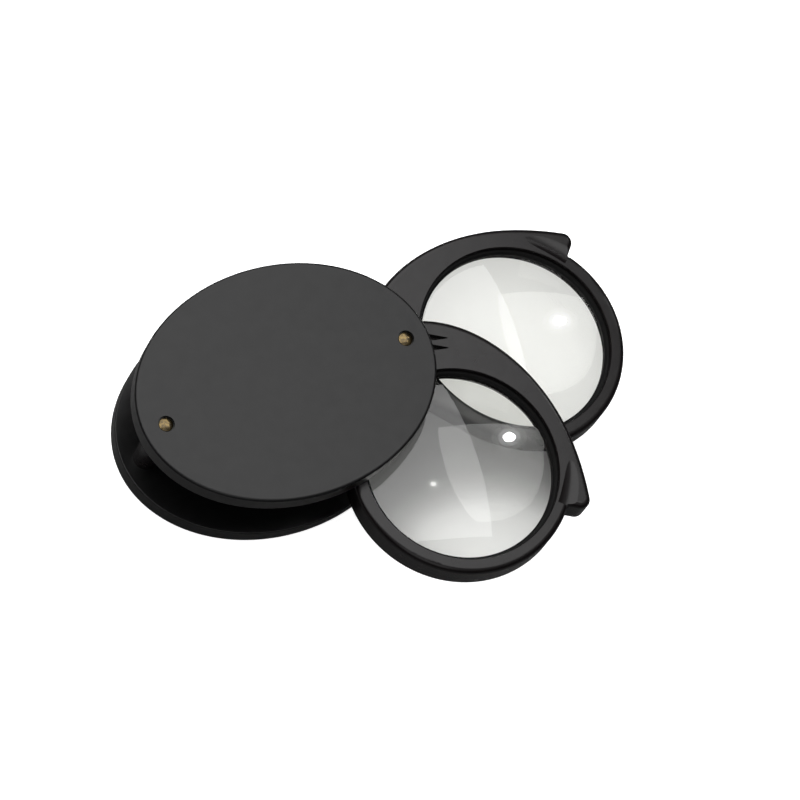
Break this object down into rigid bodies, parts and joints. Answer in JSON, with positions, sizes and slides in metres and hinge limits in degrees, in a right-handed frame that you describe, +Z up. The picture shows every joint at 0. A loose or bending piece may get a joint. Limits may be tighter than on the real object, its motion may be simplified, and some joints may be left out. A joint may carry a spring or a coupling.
{
  "type": "folding pocket magnifier",
  "caption": "Folding pocket magnifier: glass lenses in black swing-out frames with thumb tabs turn on a riveted pivot and fold into an oval case",
  "frame": {"origin": "centre of the flat rest face under the bottom cover", "axes": "+X along the case's long axis towards the pivot rivet, +Z up through the stacked lens frames, the lenses swing out towards -Y"},
  "size_m": [0.0967, 0.0663, 0.0205],
  "materials": {
    "case_plastic": "satin black, flat outer faces with a fine grain",
    "frame_plastic": "semi-gloss black moulding",
    "lens_glass": "polished crown glass",
    "rivet_brass": "slightly tarnished",
    "sleeve_metal": "drawn tube, plated",
    "spring_steel": "hardened strip",
    "washer": "thin shim"
  },
  "bodies": {
    "case": {"bottom_cover": "case_plastic", "top_cover": "case_plastic", "pivot_rivet": "rivet_brass", "post_rivet": "rivet_brass", "pivot_sleeve": "sleeve_metal", "post_sleeve": "frame_plastic", "rivet_collars": "rivet_brass", "pivot_disc_spring": "spring_steel", "upper_friction_washer": "washer", "middle_friction_washer": "washer", "lower_friction_washer": "washer"},
    "upper_lens_holder": {"upper_lens_frame": "frame_plastic", "upper_lens": "lens_glass", "upper_lens_retainer": "frame_plastic"},
    "lower_lens_holder": {"lower_lens_frame": "frame_plastic", "lower_lens": "lens_glass", "lower_lens_retainer": "frame_plastic"}
  },
  "joints": [
    {"name": "upper_lens_swing", "type": "hinge", "parent": "case", "child": "upper_lens_holder", "pos_m": [0.024, 0, 0.0133], "axis": [0, 0, 1], "range_deg": [-92.6, 87.4]},
    {"name": "lower_lens_swing", "type": "hinge", "parent": "case", "child": "lower_lens_holder", "pos_m": [0.024, 0, 0.00705], "axis": [0, 0, 1], "range_deg": [-169.6, 10.4]}
  ]
}
